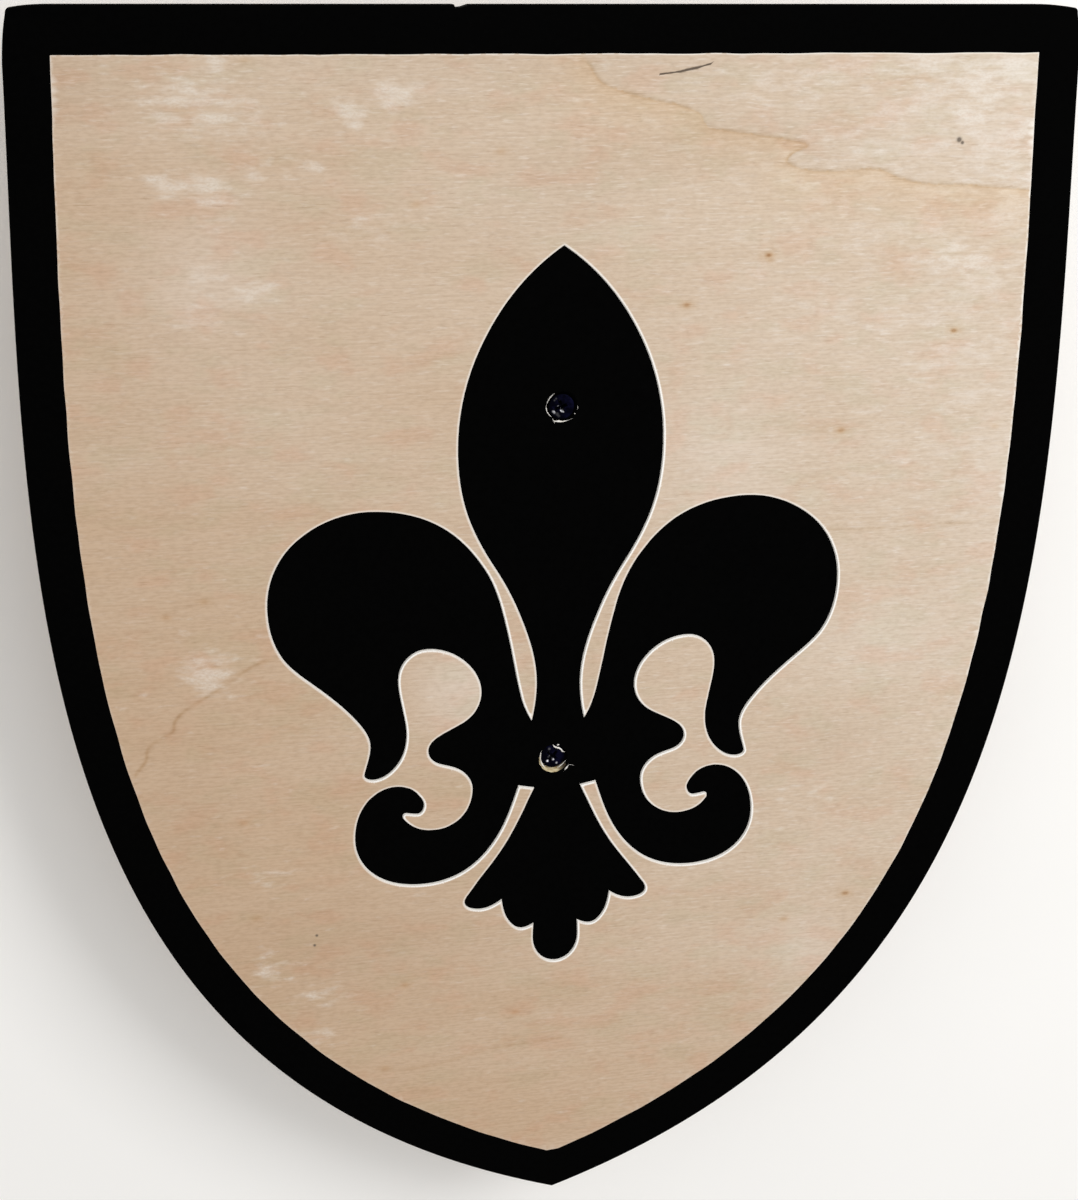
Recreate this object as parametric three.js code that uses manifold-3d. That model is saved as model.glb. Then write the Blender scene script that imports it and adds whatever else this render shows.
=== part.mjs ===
// Heater shield, toy size: one flat plywood board cut to the heater outline, with a lily
// engraved in its face and a wooden bow grip held to its back by two black wood screws
// driven in from the face.
//
// Millimetres. The shield lies face up on its grip. +Z points out of the face, +Y towards
// the straight top edge and +X to the right. The origin is on the ground under the middle
// of the board.

import * as THREE from 'three';
import { mergeVertices } from 'three/addons/utils/BufferGeometryUtils.js';
import Module from 'manifold-3d';

const wasm = await Module();
wasm.setup();

// ---- Driving dimensions ----------------------------------------------------------------

// Board
const TOP_HALF_WIDTH = 160;                         // centre line to a top corner
const BOARD_HEIGHT = 398.2;                         // top edge to the bottom point
const PLY_THICKNESS = 6;
const SIDE_START = { x: 160.4, drop: 16 };          // each side is one cubic curve, from just
const SIDE_UPPER_PULL = { x: 162.9, drop: 150.3 };  // under the corner down to the point
const SIDE_LOWER_PULL = { x: 183.2, drop: 337.4 };
const SIDE_LEAN = 0.5;                              // its pulls lie this much further out on
                                                    // the right side and in on the left
const CORNER_EASE = { length: 14, drop: 0.8, inset: 1.3 };   // sanded-off top corners
const CORNER_RADIUS = 1.6;
const ARRIS = 0.6;                                  // sanded rounding of the board's edges
const CHIP = { left: -33.3, deepest: -32.9, shallow: -31, right: -28.7, depth: 0.9 };
                                                    // splinter missing from the top edge
const ENGRAVING_DEPTH = 0.8;

// The lily's right half, from its foot up to its tip. Each anchor is [x, drop below the top
// edge, heading], with the heading in degrees, 0 to the right and 90 towards the top edge.
// A corner has two headings, the one it is reached with and the one it is left with.
const LILY_FLARE = [
  [0, 309.7, 0], [7.5, 301.3, 88], [7.3, 295.2, 94, -30],
  [11.5, 296.7, 0], [16, 293.3, 58], [18.2, 285.5, 82, -38],
  [25.5, 288.5, 0], [30.6, 285.3, 98], [28.6, 281.8, 124], [17.5, 266.3, 122],
];
const LILY_SCROLL = [
  [7.5, 246.1, 115, 12], [12.9, 245, 12, -72],
  [18.5, 260, -63], [29, 272.9, -36], [45, 277.8, 0], [60, 273.3, 38],
  [66.4, 260.3, 90], [62.5, 247.5, 128], [53, 242.5, 180], [46, 245.6, 231],
  [44, 249.8, 275], [46.2, 252.5, 0], [49.6, 252, 10], [51, 253.1, 265], [49.6, 255.3, 228],
  [40.5, 258.7, 178], [31, 254.1, 130], [27.9, 245.1, 90], [31.5, 238.5, 38],
  [38.8, 235.5, 20], [42.3, 230.8, 92], [39.3, 226.3, 146], [31, 221.8, 150],
];
const LILY_SIDE_PETAL = [
  [25, 211.8, 90], [30.5, 200.7, 42], [42.5, 196, 0], [51.9, 205.8, -89],
  [50.4, 216.8, -100], [49.4, 224.3, -90], [52.5, 234.8, -53], [60.5, 239.5, 2],
  [63, 237.6, 103], [60.9, 228.3, 92], [65, 219.1, 52], [80.2, 204.4, 40], [88, 196.3, 58],
  [92.2, 179.8, 90], [82.5, 158.4, 140], [60.4, 150.2, 180], [37.3, 156.5, 213],
  [24, 170.8, 238], [16.9, 191.3, 257], [12.2, 214.3, 256],
];
const LILY_CENTRE_PETAL = [
  [8.6, 222.9, 240, 103], [7, 209.8, 90], [13.2, 184.8, 68], [20.8, 170.1, 58],
  [28.5, 155.1, 69], [32.4, 131.8, 90], [25.5, 100.3, 115], [12.8, 80.8, 132],
  [0, 69.7, 146],
];

// Screws: black bugle-head wood screws with a cross recess
const SCREW_UPPER = { x: 0, y: 79.8, turn: 20 };     // turn: where the cross stopped, degrees
const SCREW_LOWER = { x: -1.4, y: -36.6, turn: 50 };
const HEAD_RADIUS = 4;
const HEAD_RIM = 0.5;
const HEAD_DEPTH = 3.4;
const HEAD_SUNK = 1.1;                              // head top below the board's face
const SHANK_RADIUS = 1.75;
const SCREW_LENGTH = 32;
const SCREW_POINT = 5;
const RECESS = { span: 4.6, width: 1.0, depth: 2.3, floor: 2.0 };

// Grip
const GRIP_HEIGHT = 40;                             // ground to the board's back
const GRIP_LENGTH = 142;
const GRIP_WIDTH = 24;
const BAR_THICKNESS = 15;
const FINGER_LENGTH = 88;                           // clear length between the feet
const GRIP_NOSE_RADIUS = 16;                        // outer corners of the bow
const FINGER_RADIUS = 6;                            // inner corners, where bar meets foot
const GRIP_ROUND = 4;                               // hand rounding along its long edges

const CLEARANCE = 0.3;                              // gap between neighbouring pieces
const CUT_PAST = 1;                                 // how far a cutter reaches past a face

// ---- Worked out from them --------------------------------------------------------------

const BACK_Z = GRIP_HEIGHT;
const FACE_Z = BACK_Z + PLY_THICKNESS;
const TOP_Y = BOARD_HEIGHT / 2;
const HEAD_TOP_Z = FACE_Z - HEAD_SUNK;

// Facets: steps on each curve, round the screws, and on the rounded edges
const SIDE_STEPS = 32;
const CORNER_STEPS = 4;
const LILY_STEPS = 4;
const ROUND_STEPS = 32;
const ARRIS_STEPS = 3;
const GRIP_CURVE_STEPS = 10;
const GRIP_ROUND_STEPS = 5;

// ---- Solids ----------------------------------------------------------------------------

function toSolid(geometry) {
  const bare = geometry.clone();
  bare.deleteAttribute('normal');
  bare.deleteAttribute('uv');
  const merged = mergeVertices(bare, 1e-4);
  return new wasm.Manifold(new wasm.Mesh({
    numProp: 3,
    vertProperties: merged.attributes.position.array,
    triVerts: new Uint32Array(merged.index.array),
  }));
}

function toGeometry(solid) {
  const mesh = solid.getMesh();
  const geometry = new THREE.BufferGeometry();
  geometry.setAttribute('position', new THREE.BufferAttribute(mesh.vertProperties, 3));
  geometry.setIndex(new THREE.BufferAttribute(mesh.triVerts, 1));
  geometry.computeVertexNormals();
  return geometry;
}

// A solid of revolution about Z. The profile lists (radius, z) from the bottom of the axis
// to the top of the axis.
function turned(profile, place) {
  const points = profile.map(([radius, z]) => new THREE.Vector2(radius, z));
  const geometry = new THREE.LatheGeometry(points, ROUND_STEPS);
  geometry.rotateX(Math.PI / 2);
  geometry.translate(place.x, place.y, 0);
  return toSolid(geometry);
}

// ---- Board -----------------------------------------------------------------------------

// Points along a curve, without its last, which is the next curve's first.
function along(curve, steps) {
  return curve.getPoints(steps).slice(0, -1);
}

function below(x, drop) {
  return new THREE.Vector2(x, TOP_Y - drop);
}

// The other half of a symmetric outline, walked the other way.
function mirrored(points) {
  return points.map((point) => new THREE.Vector2(-point.x, point.y)).reverse();
}

// Right half of the board's edge, from the point up to where the top edge runs straight.
// The lean moves the side's pulls outwards.
function rightEdge(lean) {
  const cornerX = TOP_HALF_WIDTH - CORNER_EASE.inset;
  const sideEnd = below(SIDE_START.x, SIDE_START.drop);
  const cornerStart = below(cornerX, CORNER_EASE.drop + CORNER_RADIUS);
  const cornerEnd = below(cornerX - CORNER_RADIUS, CORNER_EASE.drop);
  const topStart = below(TOP_HALF_WIDTH - CORNER_EASE.length, 0);
  const side = new THREE.CubicBezierCurve(
    below(0, BOARD_HEIGHT),
    below(SIDE_LOWER_PULL.x + lean, SIDE_LOWER_PULL.drop),
    below(SIDE_UPPER_PULL.x + lean, SIDE_UPPER_PULL.drop),
    sideEnd,
  );
  const sideEase = new THREE.QuadraticBezierCurve(
    sideEnd, below(TOP_HALF_WIDTH, SIDE_START.drop / 2), cornerStart,
  );
  const corner = new THREE.QuadraticBezierCurve(
    cornerStart, below(cornerX, CORNER_EASE.drop), cornerEnd,
  );
  const topEase = new THREE.QuadraticBezierCurve(
    cornerEnd, below(TOP_HALF_WIDTH - CORNER_EASE.length / 2, 0), topStart,
  );
  return [
    ...along(side, SIDE_STEPS),
    ...along(sideEase, CORNER_STEPS),
    ...along(corner, CORNER_STEPS),
    ...along(topEase, CORNER_STEPS),
    topStart,
  ];
}

// The whole outline, counter-clockwise: up the right side from the point, along the top
// past the chip, and down the left side.
function boardOutline() {
  const right = rightEdge(SIDE_LEAN);
  const left = mirrored(rightEdge(-SIDE_LEAN).slice(1));
  const chip = [
    below(CHIP.right, 0),
    below(CHIP.shallow, CHIP.depth * 0.8),
    below(CHIP.deepest, CHIP.depth),
    below(CHIP.left, 0),
  ];
  return new THREE.Shape([...right, ...chip, ...left]);
}

// The smooth curve that leaves one anchor and reaches the next with their headings. The
// handle lengths are Hobby's, the ones used for drawing letterforms.
function sweep(from, to) {
  const start = below(from[0], from[1]);
  const end = below(to[0], to[1]);
  const leave = THREE.MathUtils.degToRad(from.at(-1));
  const reach = THREE.MathUtils.degToRad(to[2]);
  const chord = end.clone().sub(start);
  const bend = (angle) => Math.atan2(Math.sin(angle), Math.cos(angle));
  const startBend = bend(leave - chord.angle());
  const endBend = bend(chord.angle() - reach);

  const share = (3 - Math.sqrt(5)) / 2;
  const lean = Math.SQRT2
    * (Math.sin(startBend) - Math.sin(endBend) / 16)
    * (Math.sin(endBend) - Math.sin(startBend) / 16)
    * (Math.cos(startBend) - Math.cos(endBend));
  const spread = (near, far) => 3 * (1 + (1 - share) * Math.cos(near) + share * Math.cos(far));
  const startPull = chord.length() * (2 + lean) / spread(startBend, endBend);
  const endPull = chord.length() * (2 - lean) / spread(endBend, startBend);
  return new THREE.CubicBezierCurve(
    start,
    new THREE.Vector2(Math.cos(leave), Math.sin(leave)).multiplyScalar(startPull).add(start),
    new THREE.Vector2(-Math.cos(reach), -Math.sin(reach)).multiplyScalar(endPull).add(end),
    end,
  );
}

// The lily, one closed outline: up its right half from foot to tip, and down the left.
function lilyOutline() {
  const anchors = [...LILY_FLARE, ...LILY_SCROLL, ...LILY_SIDE_PETAL, ...LILY_CENTRE_PETAL];
  const tip = anchors.at(-1);
  const right = [];
  for (let index = 1; index < anchors.length; index += 1) {
    right.push(...along(sweep(anchors[index - 1], anchors[index]), LILY_STEPS));
  }
  return new THREE.Shape([...right, below(tip[0], tip[1]), ...mirrored(right.slice(1))]);
}

function lilyRecess() {
  const geometry = new THREE.ExtrudeGeometry(lilyOutline(), {
    depth: ENGRAVING_DEPTH + CUT_PAST,
    bevelEnabled: false,
  });
  geometry.translate(0, 0, FACE_Z - ENGRAVING_DEPTH);
  return toSolid(geometry);
}

// The hole that a screw goes through: a plain hole with a countersink open to the face.
function screwHole(place) {
  const throughRadius = SHANK_RADIUS + CLEARANCE;
  const mouthRadius = HEAD_RADIUS + CLEARANCE;
  const seatZ = HEAD_TOP_Z - HEAD_DEPTH;
  return turned([
    [0, BACK_Z - CUT_PAST],
    [throughRadius, BACK_Z - CUT_PAST],
    [throughRadius, seatZ],
    [mouthRadius, HEAD_TOP_Z - HEAD_RIM],
    [mouthRadius, FACE_Z + CUT_PAST],
    [0, FACE_Z + CUT_PAST],
  ], place);
}

function board() {
  const geometry = new THREE.ExtrudeGeometry(boardOutline(), {
    depth: PLY_THICKNESS - 2 * ARRIS,
    bevelEnabled: true,
    bevelThickness: ARRIS,
    bevelSize: ARRIS,
    bevelOffset: -ARRIS,
    bevelSegments: ARRIS_STEPS,
  });
  geometry.translate(0, 0, BACK_Z + ARRIS);
  const solid = toSolid(geometry)
    .subtract(lilyRecess())
    .subtract(screwHole(SCREW_UPPER))
    .subtract(screwHole(SCREW_LOWER));
  const material = new THREE.MeshStandardMaterial({
    color: new THREE.Color(0.8, 0.7, 0.57),
    roughness: 0.7,
    metalness: 0,
  });
  const mesh = new THREE.Mesh(toGeometry(solid), material);
  mesh.name = 'board';
  return mesh;
}

// ---- Screws ----------------------------------------------------------------------------

// Bugle head: a flat top with a thin rim, sweeping down in a hollow curve to the shank.
function screwProfile() {
  const sweepSteps = 5;
  const tipZ = HEAD_TOP_Z - SCREW_LENGTH;
  const profile = [
    [0, tipZ],
    [SHANK_RADIUS, tipZ + SCREW_POINT],
  ];
  for (let step = 0; step <= sweepSteps; step += 1) {
    const rise = step / sweepSteps;
    profile.push([
      SHANK_RADIUS + (HEAD_RADIUS - SHANK_RADIUS) * rise ** 2,
      HEAD_TOP_Z - HEAD_DEPTH + (HEAD_DEPTH - HEAD_RIM) * rise,
    ]);
  }
  profile.push([HEAD_RADIUS, HEAD_TOP_Z], [0, HEAD_TOP_Z]);
  return profile;
}

// One blade of the cross recess, narrowing from the head's top to the recess floor.
function recessBlade(place, turn) {
  const blade = new THREE.Shape([
    new THREE.Vector2(-RECESS.floor / 2, -RECESS.depth),
    new THREE.Vector2(RECESS.floor / 2, -RECESS.depth),
    new THREE.Vector2(RECESS.span / 2, 0),
    new THREE.Vector2(RECESS.span / 2, CUT_PAST),
    new THREE.Vector2(-RECESS.span / 2, CUT_PAST),
    new THREE.Vector2(-RECESS.span / 2, 0),
  ]);
  const geometry = new THREE.ExtrudeGeometry(blade, { depth: RECESS.width, bevelEnabled: false });
  geometry.translate(0, 0, -RECESS.width / 2);
  geometry.rotateX(Math.PI / 2);
  geometry.rotateZ(turn);
  geometry.translate(place.x, place.y, HEAD_TOP_Z);
  return toSolid(geometry);
}

function screw(name, place) {
  const recessTurn = THREE.MathUtils.degToRad(place.turn);
  const solid = turned(screwProfile(), place)
    .subtract(recessBlade(place, recessTurn))
    .subtract(recessBlade(place, recessTurn + Math.PI / 2));
  const material = new THREE.MeshStandardMaterial({
    color: new THREE.Color(0.03, 0.03, 0.04),
    roughness: 0.45,
    metalness: 0.6,
  });
  const mesh = new THREE.Mesh(toGeometry(solid), material);
  mesh.name = name;
  return mesh;
}

// ---- Grip ------------------------------------------------------------------------------

// Side view of the bow, x along its length and y up from the ground. It is drawn a little
// too tall, with legs that run past the board's back, so that the rounding of its edges
// stops clean at the cut.
function gripSideView() {
  const halfLength = GRIP_LENGTH / 2;
  const halfFinger = FINGER_LENGTH / 2;
  const legTop = GRIP_HEIGHT + 2 * GRIP_ROUND;
  const shape = new THREE.Shape();
  shape.moveTo(-halfLength + GRIP_NOSE_RADIUS, 0);
  shape.lineTo(halfLength - GRIP_NOSE_RADIUS, 0);
  shape.absarc(
    halfLength - GRIP_NOSE_RADIUS, GRIP_NOSE_RADIUS, GRIP_NOSE_RADIUS,
    -Math.PI / 2, 0, false,
  );
  shape.lineTo(halfLength, legTop);
  shape.lineTo(halfFinger, legTop);
  shape.lineTo(halfFinger, BAR_THICKNESS + FINGER_RADIUS);
  shape.absarc(
    halfFinger - FINGER_RADIUS, BAR_THICKNESS + FINGER_RADIUS, FINGER_RADIUS,
    0, -Math.PI / 2, true,
  );
  shape.lineTo(-halfFinger + FINGER_RADIUS, BAR_THICKNESS);
  shape.absarc(
    -halfFinger + FINGER_RADIUS, BAR_THICKNESS + FINGER_RADIUS, FINGER_RADIUS,
    -Math.PI / 2, -Math.PI, true,
  );
  shape.lineTo(-halfFinger, legTop);
  shape.lineTo(-halfLength, legTop);
  shape.lineTo(-halfLength, GRIP_NOSE_RADIUS);
  shape.absarc(
    -halfLength + GRIP_NOSE_RADIUS, GRIP_NOSE_RADIUS, GRIP_NOSE_RADIUS,
    Math.PI, Math.PI * 1.5, false,
  );
  return shape;
}

// Pilot hole in a foot, open towards the board.
function pilotHole(alongGrip) {
  const radius = SHANK_RADIUS + CLEARANCE;
  const floorZ = HEAD_TOP_Z - SCREW_LENGTH - CLEARANCE;
  return turned([
    [0, floorZ],
    [radius, floorZ],
    [radius, GRIP_HEIGHT + CUT_PAST],
    [0, GRIP_HEIGHT + CUT_PAST],
  ], { x: 0, y: alongGrip });
}

function grip() {
  const geometry = new THREE.ExtrudeGeometry(gripSideView(), {
    depth: GRIP_WIDTH - 2 * GRIP_ROUND,
    bevelEnabled: true,
    bevelThickness: GRIP_ROUND,
    bevelSize: GRIP_ROUND,
    bevelOffset: -GRIP_ROUND,
    bevelSegments: GRIP_ROUND_STEPS,
    curveSegments: GRIP_CURVE_STEPS,
  });
  geometry.translate(0, 0, GRIP_ROUND - GRIP_WIDTH / 2);
  // Side view's x runs along Y, its y runs up Z and its thickness runs along X.
  geometry.applyMatrix4(new THREE.Matrix4().makeBasis(
    new THREE.Vector3(0, 1, 0),
    new THREE.Vector3(0, 0, 1),
    new THREE.Vector3(1, 0, 0),
  ));

  const trim = new THREE.BoxGeometry(2 * GRIP_WIDTH, 2 * GRIP_LENGTH, GRIP_HEIGHT);
  trim.translate(0, 0, GRIP_HEIGHT + GRIP_HEIGHT / 2 - CLEARANCE);

  const acrossX = SCREW_UPPER.x - SCREW_LOWER.x;
  const alongY = SCREW_UPPER.y - SCREW_LOWER.y;
  const halfSpacing = Math.hypot(acrossX, alongY) / 2;
  const solid = toSolid(geometry)
    .subtract(toSolid(trim))
    .subtract(pilotHole(halfSpacing))
    .subtract(pilotHole(-halfSpacing));

  const material = new THREE.MeshStandardMaterial({
    color: new THREE.Color(0.72, 0.57, 0.4),
    roughness: 0.65,
    metalness: 0,
  });
  const mesh = new THREE.Mesh(toGeometry(solid), material);
  mesh.name = 'grip';
  mesh.position.set((SCREW_UPPER.x + SCREW_LOWER.x) / 2, (SCREW_UPPER.y + SCREW_LOWER.y) / 2, 0);
  mesh.rotation.z = -Math.atan2(acrossX, alongY);
  return mesh;
}

// ---- Shield ----------------------------------------------------------------------------

const shield = new THREE.Group();
shield.name = 'heater_shield';
shield.add(
  board(),
  grip(),
  screw('screw_upper', SCREW_UPPER),
  screw('screw_lower', SCREW_LOWER),
);

export default shield;
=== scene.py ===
# Toy heater shield: a flat plywood board with a black painted border and a black engraved
# lily, held to a wooden bow grip by two black screws. It lies face up on its grip.
import math

import bmesh
import bpy
import numpy as np
from mathutils import Matrix, Vector, geometry, noise


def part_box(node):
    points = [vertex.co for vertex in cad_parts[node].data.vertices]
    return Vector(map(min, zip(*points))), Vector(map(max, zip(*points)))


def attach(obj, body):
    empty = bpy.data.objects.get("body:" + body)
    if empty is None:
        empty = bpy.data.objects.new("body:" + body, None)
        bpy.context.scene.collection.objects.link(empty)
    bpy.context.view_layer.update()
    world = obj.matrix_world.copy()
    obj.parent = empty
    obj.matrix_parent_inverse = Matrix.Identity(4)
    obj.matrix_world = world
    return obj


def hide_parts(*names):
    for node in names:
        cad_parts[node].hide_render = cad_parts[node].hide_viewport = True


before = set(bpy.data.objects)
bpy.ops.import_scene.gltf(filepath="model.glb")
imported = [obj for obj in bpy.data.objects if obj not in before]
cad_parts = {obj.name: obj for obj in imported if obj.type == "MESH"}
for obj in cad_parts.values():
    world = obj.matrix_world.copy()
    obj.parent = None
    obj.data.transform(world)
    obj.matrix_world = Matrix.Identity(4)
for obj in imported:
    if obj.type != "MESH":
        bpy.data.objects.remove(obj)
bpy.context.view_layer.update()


# ---- Camera, light and floor ---------------------------------------------------------------
# The shield lies on a plain pale floor under soft studio light: one large lamp over its upper
# right corner and an even glow all round. The camera looks down on it from above its top.

MM = 0.001          # shapes are worked out in millimetres, and turned to metres in Skin.piece

FLOOR_SIZE = 6000
CAMERA_PLACE = (-0.13125, 0.22954, 0.66322)         # in metres
CAMERA_TURN = (-18.709, -11.217, 0.566)             # in degrees
CAMERA_LENS = 62.974
GLOW_COLOUR = (1.0, 0.98, 0.95)
GLOW_STRENGTH = 0.72

scene = bpy.context.scene
scene.view_settings.view_transform = "Standard"

camera = bpy.data.objects.new("camera", bpy.data.cameras.new("camera"))
camera.data.lens = CAMERA_LENS
camera.location = CAMERA_PLACE
camera.rotation_euler = [math.radians(angle) for angle in CAMERA_TURN]
scene.collection.objects.link(camera)
scene.camera = camera


def soft_lamp(name, place, aim, size, power, colour):
    """A square studio lamp that faces aim."""
    lamp = bpy.data.objects.new(name, bpy.data.lights.new(name, "AREA"))
    lamp.data.size = size
    lamp.data.energy = power
    lamp.data.color = colour
    lamp.location = place
    lamp.rotation_euler = (Vector(aim) - Vector(place)).to_track_quat("-Z", "Y").to_euler()
    scene.collection.objects.link(lamp)


soft_lamp(
    "key_lamp", place=(0.62, 0.48, 0.92), aim=(0.05, 0.05, 0.04), size=0.55, power=6.2,
    colour=(1.0, 0.99, 0.98),
)

scene.world = bpy.data.worlds.new("glow")
scene.world.use_nodes = True
glow = scene.world.node_tree.nodes["Background"]
glow.inputs["Color"].default_value = (*GLOW_COLOUR, 1)
glow.inputs["Strength"].default_value = GLOW_STRENGTH


class Value:
    """A number or colour on a wire between nodes. Arithmetic on it adds Math nodes."""

    def __init__(self, finish, socket):
        self.finish = finish
        self.socket = socket

    def __add__(self, other):
        return self.finish.math("ADD", self, other)

    def __sub__(self, other):
        return self.finish.math("SUBTRACT", self, other)

    def __rsub__(self, other):
        return self.finish.math("SUBTRACT", other, self)

    def __mul__(self, other):
        return self.finish.math("MULTIPLY", self, other)

    def __pow__(self, other):
        return self.finish.math("POWER", self, other)

    __radd__ = __add__
    __rmul__ = __mul__


class Finish:
    """A material while its nodes are being wired. Its lengths are in millimetres."""

    def __init__(self, name):
        self.material = bpy.data.materials.new(name)
        self.material.use_nodes = True
        self.tree = self.material.node_tree
        self.tree.nodes.clear()

    def node(self, kind, settings, sockets, output=0):
        """Adds a node: its settings first, then a value or a wire for each of its sockets."""
        added = self.tree.nodes.new("ShaderNode" + kind)
        for name, setting in settings.items():
            setattr(added, name, setting)
        for name, value in sockets.items():
            if isinstance(value, Value):
                self.tree.links.new(value.socket, added.inputs[name])
            else:
                added.inputs[name].default_value = value
        return Value(self, added.outputs[output]) if added.outputs else None

    def math(self, operation, first, second):
        return self.node("Math", {"operation": operation}, {0: first, 1: second})

    def place(self, stretch=(1, 1, 1), shift=(0, 0, 0)):
        """The place on the piece, in millimetres, stretched and then shifted."""
        here = self.node("TexCoord", {}, {}, "Object")
        scale = [1000 * factor for factor in stretch]
        stretched = self.node("VectorMath", {"operation": "MULTIPLY"}, {0: here, 1: scale})
        return self.node("VectorMath", {"operation": "ADD"}, {0: stretched, 1: shift})

    def noise(self, stretch, detail=2.0, shift=(0, 0, 0)):
        """Soft noise from 0 to 1, with one lump to every 1 / stretch millimetres."""
        where = self.place(stretch, shift)
        return self.node("TexNoise", {}, {"Vector": where, "Scale": 1.0, "Detail": detail})

    def rise(self, value, start, end):
        """0 up to start and 1 from end on, with a smooth slope between them."""
        return self.node(
            "MapRange", {"interpolation_type": "SMOOTHSTEP"},
            {"Value": value, "From Min": start, "From Max": end},
        )

    def mark(self, name):
        """A value kept on the mesh's own points."""
        return self.node("Attribute", {"attribute_name": name}, {}, "Fac")

    def mix(self, share, first, second):
        """One colour turning into another as share goes from 0 to 1."""
        first, second = [
            colour if isinstance(colour, Value) else (*colour, 1) for colour in (first, second)
        ]
        return self.node("Mix", {"data_type": "RGBA"}, {0: share, 6: first, 7: second}, 2)

    def tint(self, share, colour, dye):
        """A colour multiplied by a dye, in full where share is 1."""
        settings = {"data_type": "RGBA", "blend_type": "MULTIPLY"}
        return self.node("Mix", settings, {0: share, 6: colour, 7: (*dye, 1)}, 2)

    def bump(self, height, depth):
        """The normal of a surface that height raises by up to depth millimetres."""
        return self.node("Bump", {}, {"Height": height, "Distance": depth / 1000})

    def surface(self, colour, roughness, **others):
        """Ends the material in one surface shader. In the others' names, _ is a space."""
        colour = colour if isinstance(colour, Value) else (*colour, 1)
        sockets = {"Base Color": colour, "Roughness": roughness}
        sockets |= {name.replace("_", " "): value for name, value in others.items()}
        shader = self.node("BsdfPrincipled", {}, sockets)
        self.node("OutputMaterial", {}, {"Surface": shader})
        return self.material


class Skin:
    """A closed surface gathered loop by loop, in millimetres, and welded at the end.

    Loops are arrays of (x, y) points that run counter-clockwise, each laid at a height.
    """

    def __init__(self):
        self.points = []
        self.faces = []
        self.finishes = []

    def add(self, points, faces, finish):
        first = len(self.points)
        self.points += [tuple(point) for point in points]
        self.faces += [[first + corner for corner in face] for face in faces]
        self.finishes += [finish] * len(faces)

    def strip(self, loop, height, next_loop, next_height, finish=0):
        """Joins two loops. It faces outwards where the next loop is the higher one."""
        count = len(loop)
        lower = np.column_stack([loop, np.full(count, height)])
        upper = np.column_stack([next_loop, np.full(count, next_height)])
        finishes = np.broadcast_to(finish, count)
        for index in range(count):
            after = (index + 1) % count
            corners = [lower[index], lower[after], upper[after], upper[index]]
            self.add(corners, [[0, 1, 2, 3]], int(finishes[index]))

    def stack(self, layers, finish=0):
        """Joins a whole row of (loop, height) layers, from the lowest up."""
        for (loop, height), (next_loop, next_height) in zip(layers, layers[1:]):
            self.strip(loop, height, next_loop, next_height, finish)

    def fill(self, loops, height, facing_up=True, finish=0, inside=()):
        """Fills the first loop, less the loops within it, with flat triangles."""
        outlines = [loop[np.any(loop != np.roll(loop, 1, axis=0), axis=1)] for loop in loops]
        edges = []
        for outline in outlines:
            first, count = len(edges), len(outline)
            edges += [(first + index, first + (index + 1) % count) for index in range(count)]
        places = [Vector(point) for point in np.vstack([*outlines, *inside])]
        made = geometry.delaunay_2d_cdt(places, edges, [], 0, 1e-5)
        points = np.array([tuple(point) for point in made[0]])
        triangles = np.array(made[2])
        middles = points[triangles].mean(axis=1)
        crossings = np.zeros(len(middles), int)
        for outline in outlines:
            for start, end in zip(outline, np.roll(outline, -1, axis=0)):
                across = (start[1] > middles[:, 1]) != (end[1] > middles[:, 1])
                rise = end[1] - start[1] or 1.0
                meets = start[0] + (end[0] - start[0]) * (middles[:, 1] - start[1]) / rise
                crossings += across & (meets > middles[:, 0])
        triangles = triangles[crossings % 2 == 1]
        used, renumbered = np.unique(triangles, return_inverse=True)
        triangles = renumbered.reshape(-1, 3)
        if not facing_up:
            triangles = triangles[:, ::-1]
        flat = np.column_stack([points[used], np.full(len(used), height)])
        self.add(flat, triangles.tolist(), finish)

    def piece(self, name, finishes, turn=None, sharp_angle=35):
        """Welds it all into one object in the shield's own frame."""
        mesh = bpy.data.meshes.new(name)
        mesh.from_pydata(self.points, [], self.faces)
        for finish in finishes:
            mesh.materials.append(finish)
        mesh.polygons.foreach_set("material_index", self.finishes)
        welding = bmesh.new()
        welding.from_mesh(mesh)
        bmesh.ops.remove_doubles(welding, verts=welding.verts, dist=0.001)
        welding.to_mesh(mesh)
        welding.free()
        if turn is not None:
            mesh.transform(turn)
        mesh.transform(Matrix.Scale(MM, 4))
        mesh.shade_smooth()
        mesh.set_sharp_from_angle(angle=math.radians(sharp_angle))
        made = bpy.data.objects.new(name, mesh)
        scene.collection.objects.link(made)
        return made


def floor_finish():
    finish = Finish("floor")
    speck = finish.noise((0.02, 0.02, 0.02), 4.0)
    return finish.surface(finish.mix(speck, (0.94, 0.94, 0.935), (0.96, 0.96, 0.955)), 0.9)


floor_skin = Skin()
floor_square = np.array([(-1, -1), (1, -1), (1, 1), (-1, 1)]) * FLOOR_SIZE / 2
floor_skin.fill([floor_square], 0)
floor = floor_skin.piece("floor", [floor_finish()])


# ---- Board ---------------------------------------------------------------------------------
# One board of 6 mm birch plywood, sawn to the heater outline and sanded round at its edges.
# The lily is routed 0.8 mm deep into the face, which bares pale wood on the walls of the cut,
# and the two screws have torn their holes in its floor.

board_low, board_high = [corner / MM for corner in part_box("board")]
FACE, BACK, TOP = board_high.z, board_low.z, board_high.y

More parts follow.
